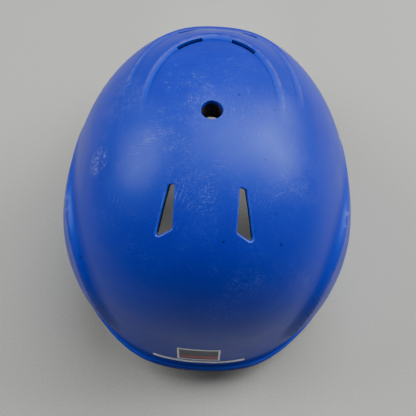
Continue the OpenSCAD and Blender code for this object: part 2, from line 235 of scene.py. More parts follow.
def rim_point(a, k, depth=0.0):
    """A point on the way out to the rim: round the fillet up to k = 0.5, then straight to the edge."""
    v = wall_end(a)
    down = unit(bare(a, v + 0.1) - bare(a, v))
    r = fillet(a)
    beyond, within = BILL_SLOPE_EASE
    last = 90 - BILL_SLOPE * blend01(BILL_HALF + beyond, BILL_HALF - within, fold(a))
    arc = min(1, 2 * k) * last
    straight = max(0, 2 * k - 1) * (flange(a) - r * (1 - cosd(last))) / sind(last)
    out = r - (r + depth) * cosd(arc) + straight * sind(last)
    drop = (r + depth) * sind(arc) + straight * cosd(last)
    return skin(a, v) + flange_way(a) * out[..., None] + down * drop[..., None]


def along_y(point):
    return float(point[0][1])


# the whole helmet is shifted so that its bounding box is centred, as in the CAD source
FRONT_Y = min(along_y(rim_point(np.array([0.0]), 1, d)) for d in (0, WALL))
BACK_Y = max([along_y(rim_point(np.array([180.0]), 1, d)) for d in (0, WALL)]
             + [along_y(smooth(np.array([180.0]), z_level(BADGE_TOP), -STICKER_OUT))])
SHIFT_Y = -(FRONT_Y + BACK_Y) / 2


def to_world(points):
    return (np.asarray(points) + [0, SHIFT_Y, 0]) * MM


# ---------------------------------------------------------------- mesh helpers
def new_object(name, points, faces, materials=()):
    mesh = bpy.data.meshes.new(name)
    mesh.from_pydata([tuple(p) for p in points], [], [tuple(f) for f in faces])
    form = bmesh.new()
    form.from_mesh(mesh)
    inside_out = form.calc_volume(signed=True) < 0
    form.free()
    if inside_out:
        mesh.flip_normals()
    mesh.update()
    obj = bpy.data.objects.new(name, mesh)
    bpy.context.scene.collection.objects.link(obj)
    for m in materials:
        mesh.materials.append(m)
    return obj


def smooth_shade(obj, angle=35):
    mesh = obj.data
    mesh.polygons.foreach_set("use_smooth", [True] * len(mesh.polygons))
    mesh.set_sharp_from_angle(angle=math.radians(angle))
    mesh.update()


def apply_modifiers(obj):
    graph = bpy.context.evaluated_depsgraph_get()
    mesh = bpy.data.meshes.new_from_object(obj.evaluated_get(graph))
    old = obj.data
    obj.modifiers.clear()
    obj.data = mesh
    if old.users == 0:
        bpy.data.meshes.remove(old)


def cut(obj, cutters):
    for c in cutters:
        mod = obj.modifiers.new("cut", "BOOLEAN")
        mod.operation, mod.object, mod.solver = "DIFFERENCE", c, "MANIFOLD"
    apply_modifiers(obj)
    for c in cutters:
        mesh = c.data
        bpy.data.objects.remove(c)
        bpy.data.meshes.remove(mesh)


def ring_faces(rows, cols, base, flip, closed=True):
    faces = []
    for i in range(rows - 1):
        for j in range(cols if closed else cols - 1):
            k = (j + 1) % cols
            a, b = base + i * cols + j, base + i * cols + k
            f = (a, b, b + cols, a + cols)
            faces.append(f[::-1] if flip else f)
    return faces


def closed_cap(name, outer, inner, materials):
    """A dome shell from two lists of rings that end on the same columns."""
    cols = outer.shape[1]
    n_out, n_in = outer.shape[0] * cols, inner.shape[0] * cols
    crowns = np.stack([outer[0].mean(0), inner[0].mean(0)])
    points = np.vstack([outer.reshape(-1, 3), inner.reshape(-1, 3), crowns])
    faces = ring_faces(outer.shape[0], cols, 0, False) + ring_faces(inner.shape[0], cols, n_out, True)
    for j in range(cols):
        k = (j + 1) % cols
        faces.append((n_out - cols + j, n_out - cols + k, n_out + n_in - cols + k, n_out + n_in - cols + j))
        faces.append((k, j, n_out + n_in))
        faces.append((n_out + j, n_out + k, n_out + n_in + 1))
    return new_object(name, to_world(points), faces, materials)


def eased(d, radius):
    """How far a rounded edge falls away at a distance d from it."""
    x = np.clip(1 - d / radius, 0, 1)
    return radius * (1 - np.sqrt(np.maximum(0, 1 - x * x)))


def crowded(count):
    """Shares from 0 to 1 that lie closer together at both ends."""
    even = np.linspace(0, 1, count + 1)
    return (1 - np.cos(even * math.pi)) / 4 + even * 0.5


def block(name, azimuths, levels, inside, materials, edge=5.0, relief=None):
    """A foam block under the shell, with rounded edges; relief(s, t) presses grooves in its inner face."""
    a0, a1 = azimuths
    v0, v1 = (float(x) for x in levels)
    width = abs(a1 - a0) * MM_PER_AZIMUTH
    height = abs(v1 - v0) * MM_PER_LEVEL
    nu, nv = max(8, int(width / FOAM_GRID)), max(8, int(height / FOAM_GRID))
    S, T = np.meshgrid(crowded(nu), crowded(nv))
    A, V = a0 + (a1 - a0) * S, v0 + (v1 - v0) * T
    ds = np.minimum(S, 1 - S) * width
    dt = np.minimum(T, 1 - T) * height
    corner = np.hypot(np.clip(edge - ds, 0, None), np.clip(edge - dt, 0, None))
    turned = edge - np.sqrt(np.maximum(0, edge ** 2 - np.minimum(corner, edge) ** 2))
    drop = np.where((ds < edge) & (dt < edge), turned, np.maximum(eased(ds, edge), eased(dt, edge)))
    drop = np.minimum(drop, abs(inside - LINER_OUT) - FOAM_EDGE)
    depth_in = inside - drop
    if relief is not None:
        depth_in = depth_in - relief(S, T) * (1 - np.clip(drop / 2.0, 0, 1))
    out_p = tucked(A, V, np.full_like(A, LINER_OUT))
    in_p = smooth(A, V, depth_in)
    cols, rows = nu + 1, nv + 1
    m = rows * cols
    points = np.vstack([out_p.reshape(-1, 3), in_p.reshape(-1, 3)])
    faces = ring_faces(rows, cols, 0, False, closed=False) + ring_faces(rows, cols, m, True, closed=False)
    for j in range(nu):
        faces.append((j + 1, j, j + m, j + 1 + m))
        b = nv * cols + j
        faces.append((b, b + 1, b + 1 + m, b + m))
    for i in range(nv):
        b = i * cols
        faces.append((b, b + cols, b + cols + m, b + m))
        b = i * cols + nu
        faces.append((b + cols, b, b + m, b + cols + m))
    return new_object(name, to_world(points), faces, materials)


# ---------------------------------------------------------------- cutters
def round_corners(flat, corner, per_side, per_corner):
    """A closed outline, made counter-clockwise, with rounded corners and evenly cut sides."""
    area = 0.5 * np.sum(flat[:, 0] * np.roll(flat[:, 1], -1) - np.roll(flat[:, 0], -1) * flat[:, 1])
    if area < 0:
        flat = flat[::-1]
    out = []
    count = len(flat)
    for i in range(count):
        p, prev, nxt = flat[i], flat[i - 1], flat[(i + 1) % count]
        d0, d1 = unit(prev - p), unit(nxt - p)
        half = math.acos(max(-1, min(1, float(d0 @ d1)))) / 2
        reach = min(corner / math.tan(half), 0.45 * np.linalg.norm(prev - p), 0.45 * np.linalg.norm(nxt - p))
        start, end = p + d0 * reach, p + d1 * reach
        for k in range(per_corner + 1):
            w = k / per_corner
            out.append((1 - w) ** 2 * start + 2 * w * (1 - w) * p + w * w * end)
        after = nxt + unit(p - nxt) * reach
        for k in range(1, per_side):
            out.append(end + (after - end) * k / per_side)
    return np.array(out)


def plan_outline(points, corner):
    """Plan corners projected on the surface and rounded in the tangent plane."""
    pts = np.array(points, float)
    mid = pts.mean(0)
    a, v = np.degrees(np.arctan2(mid[0], -mid[1])), plan_level(*mid)
    origin, n = bare(a, v), normal(a, v)
    ex = unit(np.cross([0, 0, 1], n))
    ey = np.cross(n, ex)
    q = bare(np.degrees(np.arctan2(pts[:, 0], -pts[:, 1])), plan_level(pts[:, 0], pts[:, 1])) - origin
    flat = np.stack([q @ ex, q @ ey], -1)
    return round_corners(flat, corner, per_side=10, per_corner=6), origin, n, ex, ey


def outward(flat):
    tangent = np.roll(flat, -1, 0) - np.roll(flat, 1, 0)
    return unit(np.stack([tangent[:, 1], -tangent[:, 0]], -1))


def loft(name, rings, edge_rings=()):
    """A closed cutter; the bands after the given rings leave the painted-highlight edge material behind."""
    cols = len(rings[0])
    points = np.vstack(rings)
    faces = ring_faces(len(rings), cols, 0, True)
    faces.append(tuple(range(cols)))
    faces.append(tuple(range((len(rings) - 1) * cols, len(rings) * cols))[::-1])
    obj = new_object(name, to_world(points), faces)
    for i in edge_rings:
        for k in range(i * cols, (i + 1) * cols):
            obj.data.polygons[k].material_index = 1
    return obj


def surface_cutter(name, flat, origin, n, ex, ey, grow, edge_radius, depth):
    """A cutter through the shell whose mouth is rounded where it meets the raised surface."""
    side = outward(flat)
    base = origin + flat[:, :1] * ex + flat[:, 1:] * ey
    ways = side[:, :1] * ex + side[:, 1:] * ey
    a = np.degrees(np.arctan2(base[:, 0], -base[:, 1]))
    v = plan_level(base[:, 0], base[:, 1])
    lift = (skin(a, v) - base) @ n
    surface = base + lift[:, None] * n
    rings = [surface + ways * grow - n * depth, surface + ways * grow - n * edge_radius]
    if edge_radius > 0:
        for angle in (30, 60, 80):
            flare = edge_radius * (1 - cosd(angle))
            rings.append(surface + ways * (grow + flare) - n * edge_radius * (1 - sind(angle)))
        rings.append(surface + ways * (grow + edge_radius * 1.15) + n * 0.25)
        rings.append(surface + ways * (grow + edge_radius * 1.3) + n * 3.0)
    else:
        rings.append(surface + ways * grow + n * 12.0)
    return loft(name, rings, range(1, len(rings) - 1))


def vent_points(side):
    return [(side * VENT_INNER, VENT_NEAR), (side * (VENT_INNER + VENT_NARROW), VENT_NEAR + 1),
            (side * (VENT_INNER + VENT_WIDE), VENT_FAR + 3), (side * VENT_INNER, VENT_FAR - 1)]


def vent_cutter(side, grow, edge_radius, depth=SHELL_CUT):
    """The wearer's left vent, mirrored for the other side."""
    flat, origin, n, ex, ey = plan_outline(vent_points(1), corner=2.0)
    cutter = surface_cutter(f"cut_vent{side}{grow}", flat, origin, n, ex, ey, grow, edge_radius, depth)
    if side < 0:
        for vertex in cutter.data.vertices:
            vertex.co.x *= -1
        cutter.data.flip_normals()
    return cutter


def slot_cutter(side, shape, span, edge_radius, depth=SHELL_CUT):
    """A slot along the foot of a step, cut straight down."""
    xs = np.linspace(span[0], span[1], 9)
    foot = np.stack([side * xs, -(shape[0] - 1) * np.sqrt(1 - (xs / shape[1]) ** 2)], -1)
    away = foot + unit(foot) * SLOT_WIDTH
    flat = round_corners(np.vstack([foot, away[::-1]]), corner=1.5, per_side=3, per_corner=5)
    across, back, up = np.eye(3)
    name = f"cut_slot{side}{span[0]}"
    return surface_cutter(name, flat, np.zeros(3), up, across, back, 0.0, edge_radius, depth)


def round_cutter(name, centre, way, radius, start, end, edges=()):
    """A cylinder along way with optional flared rings given as (distance, extra radius)."""
    ex = unit(np.cross(way, [0.3, 1, 0.2]))
    ey = np.cross(way, ex)
    t = np.arange(72) / 72 * 2 * math.pi
    circle = np.cos(t)[:, None] * ex + np.sin(t)[:, None] * ey
    rings = [np.asarray(centre) + way * start + circle * radius]
    for distance, extra in edges:
        rings.append(np.asarray(centre) + way * distance + circle * (radius + extra))
    rings.append(np.asarray(centre) + way * end + circle * (radius + (edges[-1][1] if edges else 0)))
    return loft(name, rings, range(1, len(rings) - 1))


def flared(flare, past, spread):
    """Rings that round the mouth of a hole, as (distance from the surface, extra radius)."""
    if not flare:
        return []
    return [(-flare, 0), (-flare * 0.5, flare * 0.13), (-flare * 0.13, flare * 0.5), (past, flare * spread)]


def crown_cutter(radius, flare):
    top = float(skin(np.array([180.0]), plan_level(0.0, CROWN_HOLE_BACK))[0][2])
    centre, up = [0, CROWN_HOLE_BACK, top], np.array([0.0, 0.0, 1.0])
    return round_cutter(f"cut_crown{radius}", centre, up, radius, -HOLE_CUT, 12, flared(flare, 0.15, 1.15))


def ear_cutter(side, radius, flare):
    wall = float(skin(np.array([90.0]), z_level(EAR_HOLE_Z))[0][0])
    centre, way = [side * wall, 0, EAR_HOLE_Z], np.array([float(side), 0.0, 0.0])
    return round_cutter(f"cut_ear{side}{radius}", centre, way, radius, -HOLE_CUT, 14, flared(flare, 0.3, 1.25))


# ---------------------------------------------------------------- materials
def material(name, colour, roughness, **sockets):
    m = bpy.data.materials.new(name)
    m.use_nodes = True
    shader = m.node_tree.nodes["Principled BSDF"]
    shader.inputs["Base Color"].default_value = (*colour, 1)
    shader.inputs["Roughness"].default_value = roughness
    for key, value in sockets.items():
        shader.inputs[key.replace("_", " ")].default_value = value
    return m, m.node_tree, shader


class Graph:
    """Short names for the nodes these materials share."""

    def __init__(self, tree):
        self.tree = tree
        self.coords = tree.nodes.new("ShaderNodeTexCoord").outputs["Object"]

    def node(self, kind, **settings):
        n = self.tree.nodes.new(kind)
        for key, value in settings.items():
            setattr(n, key, value)
        return n

    def link(self, a, b):
        self.tree.links.new(a, b)

    def mapped(self, scale, rotation=(0, 0, 0), offset=(0, 0, 0)):
        """Coordinates turned first and stretched afterwards."""
        n = self.node("ShaderNodeMapping", vector_type="TEXTURE")
        n.inputs["Scale"].default_value = [1 / x for x in scale]
        n.inputs["Rotation"].default_value = [math.radians(r) for r in rotation]
        n.inputs["Location"].default_value = offset
        self.link(self.coords, n.inputs["Vector"])
        return n.outputs["Vector"]

    def noise(self, scale, detail=2.0, rough=0.5, vector=None, distortion=0.0):
        n = self.node("ShaderNodeTexNoise")
        n.inputs["Scale"].default_value = scale
        n.inputs["Detail"].default_value = detail
        n.inputs["Roughness"].default_value = rough
        n.inputs["Distortion"].default_value = distortion
        self.link(vector if vector is not None else self.coords, n.inputs["Vector"])
        return n.outputs["Fac"]

    def remap(self, value, low, high, to_low=0.0, to_high=1.0):
        n = self.node("ShaderNodeMapRange")
        n.interpolation_type = "SMOOTHSTEP"
        for key, x in (("From Min", low), ("From Max", high), ("To Min", to_low), ("To Max", to_high)):
            n.inputs[key].default_value = x
        self.link(value, n.inputs["Value"])
        return n.outputs["Result"]

    def math(self, kind, a, b=None):
        n = self.node("ShaderNodeMath", operation=kind)
        for i, x in enumerate((a, b)):
            if x is None:
                continue
            if isinstance(x, (int, float)):
                n.inputs[i].default_value = x
            else:
                self.link(x, n.inputs[i])
        return n.outputs[0]

    def mix(self, factor, a, b):
        n = self.node("ShaderNodeMix", data_type="RGBA")
        sockets = (n.inputs[0], n.inputs[6], n.inputs[7])
        for socket, x in zip(sockets, (factor, a, b)):
            if isinstance(x, (int, float)):
                socket.default_value = x
            elif isinstance(x, tuple):
                socket.default_value = (*x, 1)
            else:
                self.link(x, socket)
        return n.outputs[2]

    def near(self, centre, reach):
        """1 within a distance of a point given in mm, fading to 0."""
        n = self.node("ShaderNodeVectorMath", operation="DISTANCE")
        self.link(self.coords, n.inputs[0])
        n.inputs[1].default_value = [x * MM for x in centre]
        return self.remap(n.outputs["Value"], reach * MM, reach * MM * 0.45)

    def attribute(self, name):
        return self.node("ShaderNodeAttribute", attribute_name=name).outputs["Fac"]

    def bump(self, shader, height, strength, distance):
        n = self.node("ShaderNodeBump")
        n.inputs["Strength"].default_value = strength
        n.inputs["Distance"].default_value = distance
        self.link(height, n.inputs["Height"])
        self.link(n.outputs["Normal"], shader.inputs["Normal"])


# where the shell is handled, scuffed and chipped: centre in the shared frame and reach, both in mm
HANDLED = (((20, 22, 205), 34), ((30, 60, 200), 30), ((10, 87, 192), 26), ((-22, 132, 144), 30),
           ((-59, 122, 133), 26), ((-60, 60, 183), 24), ((60, 10, 185), 24))
SCUFF = ((73, 53, 173), 13)
CHIPS = (((-35, 59, 198), 1.0), ((81, 45, 166), 1.0), ((-12, 107.5, 177.5), 0.9), ((85, 101, 125), 1.4),
         ((-21, 96, 187), 0.8))
# hairline scratches: turn and tilt in degrees, and how fast they vary along their length
SCRATCHES = ((15, 10, 60), (-40, -20, 75), (80, 25, 55), (125, -10, 80), (160, 30, 65), (55, -35, 90),
             (100, 5, 70))


def handled_areas(g):
    """1 where hands and kit bags have rubbed the dome, with a broken outline."""
    area = 0.0
    for centre, reach in HANDLED:
        area = g.math("MAXIMUM", area, g.near(centre, reach))
    return g.math("MULTIPLY", area, g.remap(g.noise(45, 4, 0.7), 0.42, 0.58))


def scratches(g):
    """Hairlines in several directions, each broken up by a coarse mask, and a few curls."""
    marks = 0.0
    for i, (turn, tilt, length) in enumerate(SCRATCHES):
        across = 1500 + 120 * i
        along = g.mapped((across, length, across), (tilt, 0, turn), (0.31 * i, 0.17 * i, 0.05))
        line = g.remap(g.noise(1.0, 0.0, 0.4, along), 0.68, 0.78)
        coarse = g.mapped((1, 1, 1), (0, 0, 0), (i * 1.7 + 4, 2, i))
        gate = g.remap(g.noise(21 + 5 * i, 2, 0.5, coarse), 0.54, 0.64)
        marks = g.math("MAXIMUM", marks, g.math("MULTIPLY", line, gate))
    curls = g.math("ABSOLUTE", g.math("SUBTRACT", g.noise(70, 1.5, 0.5, distortion=0.8), 0.5))
    curl = g.math("MULTIPLY", g.remap(curls, 0.0040, 0.0), g.remap(g.noise(95, 2, 0.5), 0.60, 0.66))
    return g.math("MAXIMUM", marks, g.math("MULTIPLY", curl, 0.8))


def pale_marks(g, handled):
    """Scratches, specks and the one large scuff together."""
    marks = g.math("MULTIPLY", scratches(g), g.math("ADD", 0.35, g.math("MULTIPLY", handled, 0.8)))
    specks = g.math("MULTIPLY", g.remap(g.noise(1100, 0, 0.5), 0.66, 0.78), handled)
    marks = g.math("MAXIMUM", marks, g.math("MULTIPLY", specks, 0.4))
    chalk = g.math("MULTIPLY", g.near(*SCUFF), g.remap(g.noise(480, 4, 0.8), 0.48, 0.62))
    chalk = g.math("MULTIPLY", chalk, g.remap(g.noise(110, 3, 0.7), 0.40, 0.56))
    return g.math("MAXIMUM", marks, g.math("MULTIPLY", chalk, 1.8))


def chalky(g, handled):
    """Patches where the surface has gone dull."""
    broad = g.remap(g.noise(30, 5, 0.75), 0.56, 0.70)
    rub = g.math("MULTIPLY", broad, g.remap(g.noise(520, 3, 0.7), 0.44, 0.62))
    fine = g.math("MULTIPLY", handled, g.remap(g.noise(380, 4, 0.75), 0.42, 0.64))
    return g.math("MAXIMUM", rub, fine)


def chips(g):
    """A few dark chips and grime specks."""
    dirt = g.math("MULTIPLY", g.remap(g.noise(210, 1, 0.5), 0.775, 0.80), 0.6)
    for centre, reach in CHIPS:
        dirt = g.math("MAXIMUM", dirt, g.math("MULTIPLY", g.near(centre, reach), 0.9))
    return dirt


def shell_material():
    m, tree, shader = material("shell_matte_blue", (0.008, 0.016, 0.36), 0.42, Specular_IOR_Level=0.60,
                               Specular_Tint=(0.30, 0.45, 1.0, 1.0))
    g = Graph(tree)
    colour = g.mix(g.remap(g.noise(14, 3, 0.55), 0.35, 0.7), (0.0060, 0.0130, 0.330), (0.0085, 0.0180, 0.375))
    grain = g.math("MULTIPLY", g.remap(g.noise(1500, 2, 0.6), 0.5, 0.72), 0.10)
    colour = g.mix(grain, colour, (0.07, 0.12, 0.52))
    handled = handled_areas(g)
    marks = pale_marks(g, handled)
    colour = g.mix(g.math("MULTIPLY", marks, 0.30), colour, (0.20, 0.25, 0.60))
    colour = g.mix(g.math("MULTIPLY", chalky(g, handled), 0.12), colour, (0.12, 0.16, 0.50))
    colour = g.mix(chips(g), colour, (0.004, 0.005, 0.02))
    # painted highlight in the step risers, painted shade in the crease at each step's foot, dull scuffing
    # along raised crests
    colour = g.mix(g.math("MULTIPLY", g.attribute("riser_highlight"), 0.55), colour, (0.004, 0.028, 0.50))
    colour = g.mix(g.math("MULTIPLY", g.attribute("foot"), 0.50), colour, (0.004, 0.008, 0.13))
    wear = g.math("MULTIPLY", g.attribute("wear"), g.remap(g.noise(160, 5, 0.75), 0.34, 0.58))
    colour = g.mix(g.math("MULTIPLY", wear, 0.55), colour, (0.13, 0.125, 0.22))
    # painted highlight on the rear lip
    colour = g.mix(g.attribute("lip_highlight"), colour, (0.006, 0.034, 0.48))
    g.link(colour, shader.inputs["Base Color"])
    rough = g.remap(g.noise(30, 3, 0.6), 0.3, 0.7, 0.40, 0.46)
    rough = g.math("ADD", rough, g.math("MULTIPLY", marks, 0.10))
    g.link(rough, shader.inputs["Roughness"])
    height = g.math("ADD", g.math("MULTIPLY", g.noise(1800, 2, 0.5), 0.35), g.math("MULTIPLY", marks, -0.8))
    g.bump(shader, height, 0.10, 0.0004)
    return m


def edge_highlight_material():
    """The rims of the holes, vents and slots in a lighter blue than the shell: a painted highlight."""
    m, tree, shader = material("shell_edge_highlight", (0.015, 0.04, 0.48), 0.42, Specular_IOR_Level=0.35)
    g = Graph(tree)
    # the painted highlight varies at random in strength along the rims
    worn = g.remap(g.noise(240, 4, 0.7), 0.35, 0.65)
    g.link(g.mix(worn, (0.010, 0.028, 0.42), (0.028, 0.065, 0.52)), shader.inputs["Base Color"])
    g.bump(shader, g.noise(1500, 2, 0.5), 0.10, 0.0003)
    return m


def foam_material():
    m, tree, shader = material("liner_foam", (0.10, 0.098, 0.095), 0.9, Specular_IOR_Level=0.2)
    g = Graph(tree)
    cells = g.node("ShaderNodeTexVoronoi", feature="DISTANCE_TO_EDGE")
    cells.inputs["Scale"].default_value = 320
    g.link(g.coords, cells.inputs["Vector"])
    bead = g.remap(cells.outputs["Distance"], 0.0, 0.18)
    colour = g.mix(g.remap(g.noise(25, 3, 0.6), 0.35, 0.65), (0.085, 0.082, 0.078), (0.135, 0.128, 0.118))
    colour = g.mix(bead, (0.045, 0.043, 0.041), colour)
    g.link(colour, shader.inputs["Base Color"])
    g.bump(shader, g.math("ADD", bead, g.math("MULTIPLY", g.noise(900, 2, 0.5), 0.4)), 0.35, 0.0006)
    return m


def fabric_material():
    m, tree, shader = material("pad_knit", (0.03, 0.03, 0.033), 0.88, Sheen_Weight=0.35, Sheen_Roughness=0.5,
                               Specular_IOR_Level=0.2)
    g = Graph(tree)
    warp = g.node("ShaderNodeTexWave", wave_type="BANDS", bands_direction="DIAGONAL")
    weft = g.node("ShaderNodeTexWave", wave_type="BANDS", bands_direction="Z")
    for n, scale in ((warp, 420), (weft, 560)):
        n.inputs["Scale"].default_value = scale
        n.inputs["Distortion"].default_value = 1.0
        n.inputs["Detail"].default_value = 1.0
        g.link(g.coords, n.inputs["Vector"])
    weave = g.math("MULTIPLY", warp.outputs["Fac"], weft.outputs["Fac"])
    worn = g.remap(g.noise(18, 4, 0.6), 0.35, 0.7)
    colour = g.mix(worn, (0.018, 0.018, 0.021), (0.040, 0.040, 0.044))
    colour = g.mix(weave, colour, (0.070, 0.070, 0.076))
    g.link(colour, shader.inputs["Base Color"])
    g.bump(shader, weave, 0.45, 0.0004)
    return m


def thread_material():
    m, tree, shader = material("pad_piping", (0.05, 0.05, 0.055), 0.75, Sheen_Weight=0.2)
    g = Graph(tree)
    twist = g.node("ShaderNodeTexWave", wave_type="BANDS", bands_direction="DIAGONAL")
    twist.inputs["Scale"].default_value = 500
    g.link(g.coords, twist.inputs["Vector"])
    g.link(g.mix(twist.outputs["Fac"], (0.02, 0.02, 0.022), (0.075, 0.075, 0.08)), shader.inputs["Base Color"])
    g.bump(shader, twist.outputs["Fac"], 0.5, 0.0003)
    return m


def patch_material():
    m, tree, shader = material("hook_and_loop", (0.02, 0.02, 0.02), 0.95, Sheen_Weight=0.3)
    g = Graph(tree)
    hooks = g.node("ShaderNodeTexVoronoi", feature="F1")
    hooks.inputs["Scale"].default_value = 900
    g.link(g.coords, hooks.inputs["Vector"])
    colour = g.mix(hooks.outputs["Distance"], (0.05, 0.05, 0.05), (0.008, 0.008, 0.008))
    g.link(colour, shader.inputs["Base Color"])
    g.bump(shader, hooks.outputs["Distance"], 0.8, 0.0006)
    return m


def print_material(name, colour):
    m, tree, shader = material(name, colour, 0.38)
    g = Graph(tree)
    worn = g.math("MULTIPLY", g.remap(g.noise(260, 3, 0.7), 0.60, 0.72), 0.7)
    shade = tuple(0.75 * c for c in colour)
    base = g.mix(g.remap(g.noise(120, 3, 0.6), 0.3, 0.7), shade, colour)
    g.link(g.mix(worn, base, (0.03, 0.10, 0.45)), shader.inputs["Base Color"])
    g.bump(shader, worn, 0.2, 0.0002)
    return m


def floor_material():
    m, tree, shader = material("floor_paper", (0.42, 0.42, 0.43), 0.9, Specular_IOR_Level=0.1)
    g = Graph(tree)
    grain = g.noise(700, 3, 0.7)
    base = g.mix(g.remap(grain, 0.35, 0.65), (0.325, 0.328, 0.310), (0.375, 0.377, 0.357))
    g.link(base, shader.inputs["Base Color"])
    g.bump(shader, grain, 0.12, 0.0005)
    return m


SHELL, EDGE, FOAM = shell_material(), edge_highlight_material(), foam_material()
KNIT, PIPING, PATCHES = fabric_material(), thread_material(), patch_material()


# ---------------------------------------------------------------- outer shell
def shell_columns():
    """Azimuths, closest together over the bill."""
    front_end, fine, coarse = 78, 0.7, 1.1
    front = np.arange(0, front_end, fine)
    behind = np.arange(front[-1] + coarse, 360 - front[-1] - 0.5, coarse)
    return np.concatenate([front, behind, 360 - front[:0:-1]])


def ground_cutter():
    """A slab under z = 0 that trims the flap ends flat."""
    half, deep = 0.4, -0.05
    corners = ((-1, -1), (1, -1), (1, 1), (-1, 1))
    points = [(x * half, y * half, z) for z in (deep, 0.0) for x, y in corners]
    sides = [(i, (i + 1) % 4, (i + 1) % 4 + 4, i + 4) for i in range(4)]
    return new_object("cut_ground", points, [(3, 2, 1, 0), (4, 5, 6, 7)] + sides)


def build_shell():
    cols = shell_columns()
    end = wall_end(cols)
    outer_rows, inner_rows = 44, 24
    # rows crowd where the steps and vents are
    dome = np.concatenate([[CROWN_RING, 0.9], np.arange(1.7, 22, 0.8), np.arange(22, 66, 0.45),
                           np.arange(66, 90.01, 0.75)])
    plain = np.concatenate([[CROWN_RING], np.arange(1.5, 90.01, 1.5)])
    rim = list(np.linspace(0, 0.5, 11)[1:]) + list(np.linspace(0.5, 1, 16)[1:])
    rings = [skin(cols, np.full_like(cols, v)) for v in dome]
    rings += [skin(cols, 90 + (end - 90) * i / outer_rows) for i in range(1, outer_rows + 1)]
    rings += [rim_point(cols, k) for k in rim]
    inner = [skin(cols, np.full_like(cols, v), WALL) for v in plain]
    inner += [skin(cols, 90 + (end - 90) * i / inner_rows, WALL) for i in range(1, inner_rows + 1)]
    inner += [rim_point(cols, k, WALL) for k in rim[:-1]]
    # the free edge is rounded: both skins stop short and meet on a small arc
    last_out, last_in = rim_point(cols, 1.0), rim_point(cols, 1.0, WALL)
    way = unit(last_out - rim_point(cols, 0.985))
    radius = WALL * 0.5
    mid, up = (last_out + last_in) / 2, (last_out - last_in) / 2
    rings[-1] = last_out - way * radius
    for angle in (22, 45, 68, 90, 112, 135, 158):
        rings.append(mid - way * radius + up * cosd(angle) + way * radius * sind(angle))
    inner.append(last_in - way * radius)
    obj = closed_cap("shell_skin", np.array(rings), np.array(inner), [SHELL, EDGE])
    cutters = [ground_cutter(), crown_cutter(CROWN_HOLE_R, CROWN_EDGE)]
    for side in (-1, 1):
        cutters += [vent_cutter(side, 0.0, VENT_EDGE), ear_cutter(side, EAR_HOLE_R, EAR_EDGE),
                    slot_cutter(side, UPPER_STEP, UPPER_SLOT, SLOT_EDGE),
                    slot_cutter(side, LOWER_STEP, LOWER_SLOT, SLOT_EDGE)]
    cut(obj, cutters)
    paint_wear_and_light(obj)
    smooth_shade(obj, 40)
    return obj


def paint_wear_and_light(obj):
    """Marks scuffed crests, painted highlights in the risers and on the rear lip, and painted shade at the
    step feet, for the shell material.
    """
    mesh = obj.data
    co = np.empty(len(mesh.vertices) * 3)
    mesh.vertices.foreach_get("co", co)
    p = co.reshape(-1, 3) / MM - [0, SHIFT_Y, 0]
    a = np.degrees(np.arctan2(p[:, 0], -p[:, 1]))
    edge = boss_edge(a, p[:, 2])
    behind = blend01(95, 112, fold(a)) * (p[:, 2] > 45)
    crest = np.exp(-((edge - 0.985) / 0.020) ** 2) * behind
    # painted highlight in the riser just outside the boss crest
    riser_highlight = 0.8 * np.exp(-((edge - 1.020) / 0.020) ** 2) * behind
    foot = np.zeros(len(p))
    for shape, fade, share in ((UPPER_STEP, UPPER_FADE, 0.8), (LOWER_STEP, LOWER_FADE, 1.0)):
        d = step_distance(p, shape)
        w = blend01(*fade, -p[:, 1])
        crest = np.maximum(crest, share * w * np.exp(-((d - STEP_WIDTH - 0.3) / 1.0) ** 2))
        # painted highlight in each step's riser
        riser_highlight = np.maximum(riser_highlight, w * np.clip(1.4 - np.abs(d - STEP_WIDTH * 0.55) / (STEP_WIDTH * 0.4), 0, 1))
        # painted shade in the crease along each step's foot
        foot = np.maximum(foot, w * np.exp(-((d - 0.2) / 0.9) ** 2))
    high = p[:, 2] > WIDEST_Z
    crest = np.where(high | (edge < 1.1), crest, 0)
    # painted highlight along the top of the rear lip, put into both the riser and the lip attributes
    lip = blend01(BACK_RIM_Z + 9, BACK_RIM_Z + 2, p[:, 2]) * (fold(a) > 138)
    values = {"wear": crest, "riser_highlight": np.maximum(riser_highlight, lip * 0.3), "lip_highlight": lip * 0.2, "foot": foot}
    for name, value in values.items():
        layer = mesh.attributes.new(name, "FLOAT", "POINT")
        layer.data.foreach_set("value", np.clip(value, 0, 1).astype(np.float32))


def place(obj, slot, *nodes):
    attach(obj, "root")
    if nodes:
        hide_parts(*nodes)
    return obj


place(build_shell(), "shell", "outer_shell")

# ---------------------------------------------------------------- foam liner
CROWN_END, LOWER_START = 46.0, 49.0        # levels where the crown block ends and the others start
SIDE_START, SIDE_END, GAP = 52.0, 129.0, 4.0
BROW_Z, SIDE_Z, NAPE_Z = 90.0, 88.0, 56.0  # lower edges of the blocks
FLAP_FOAM_SPAN, FLAP_FOAM_TOP, FLAP_FOAM_FOOT = (69, 113), 85.0, 9.0


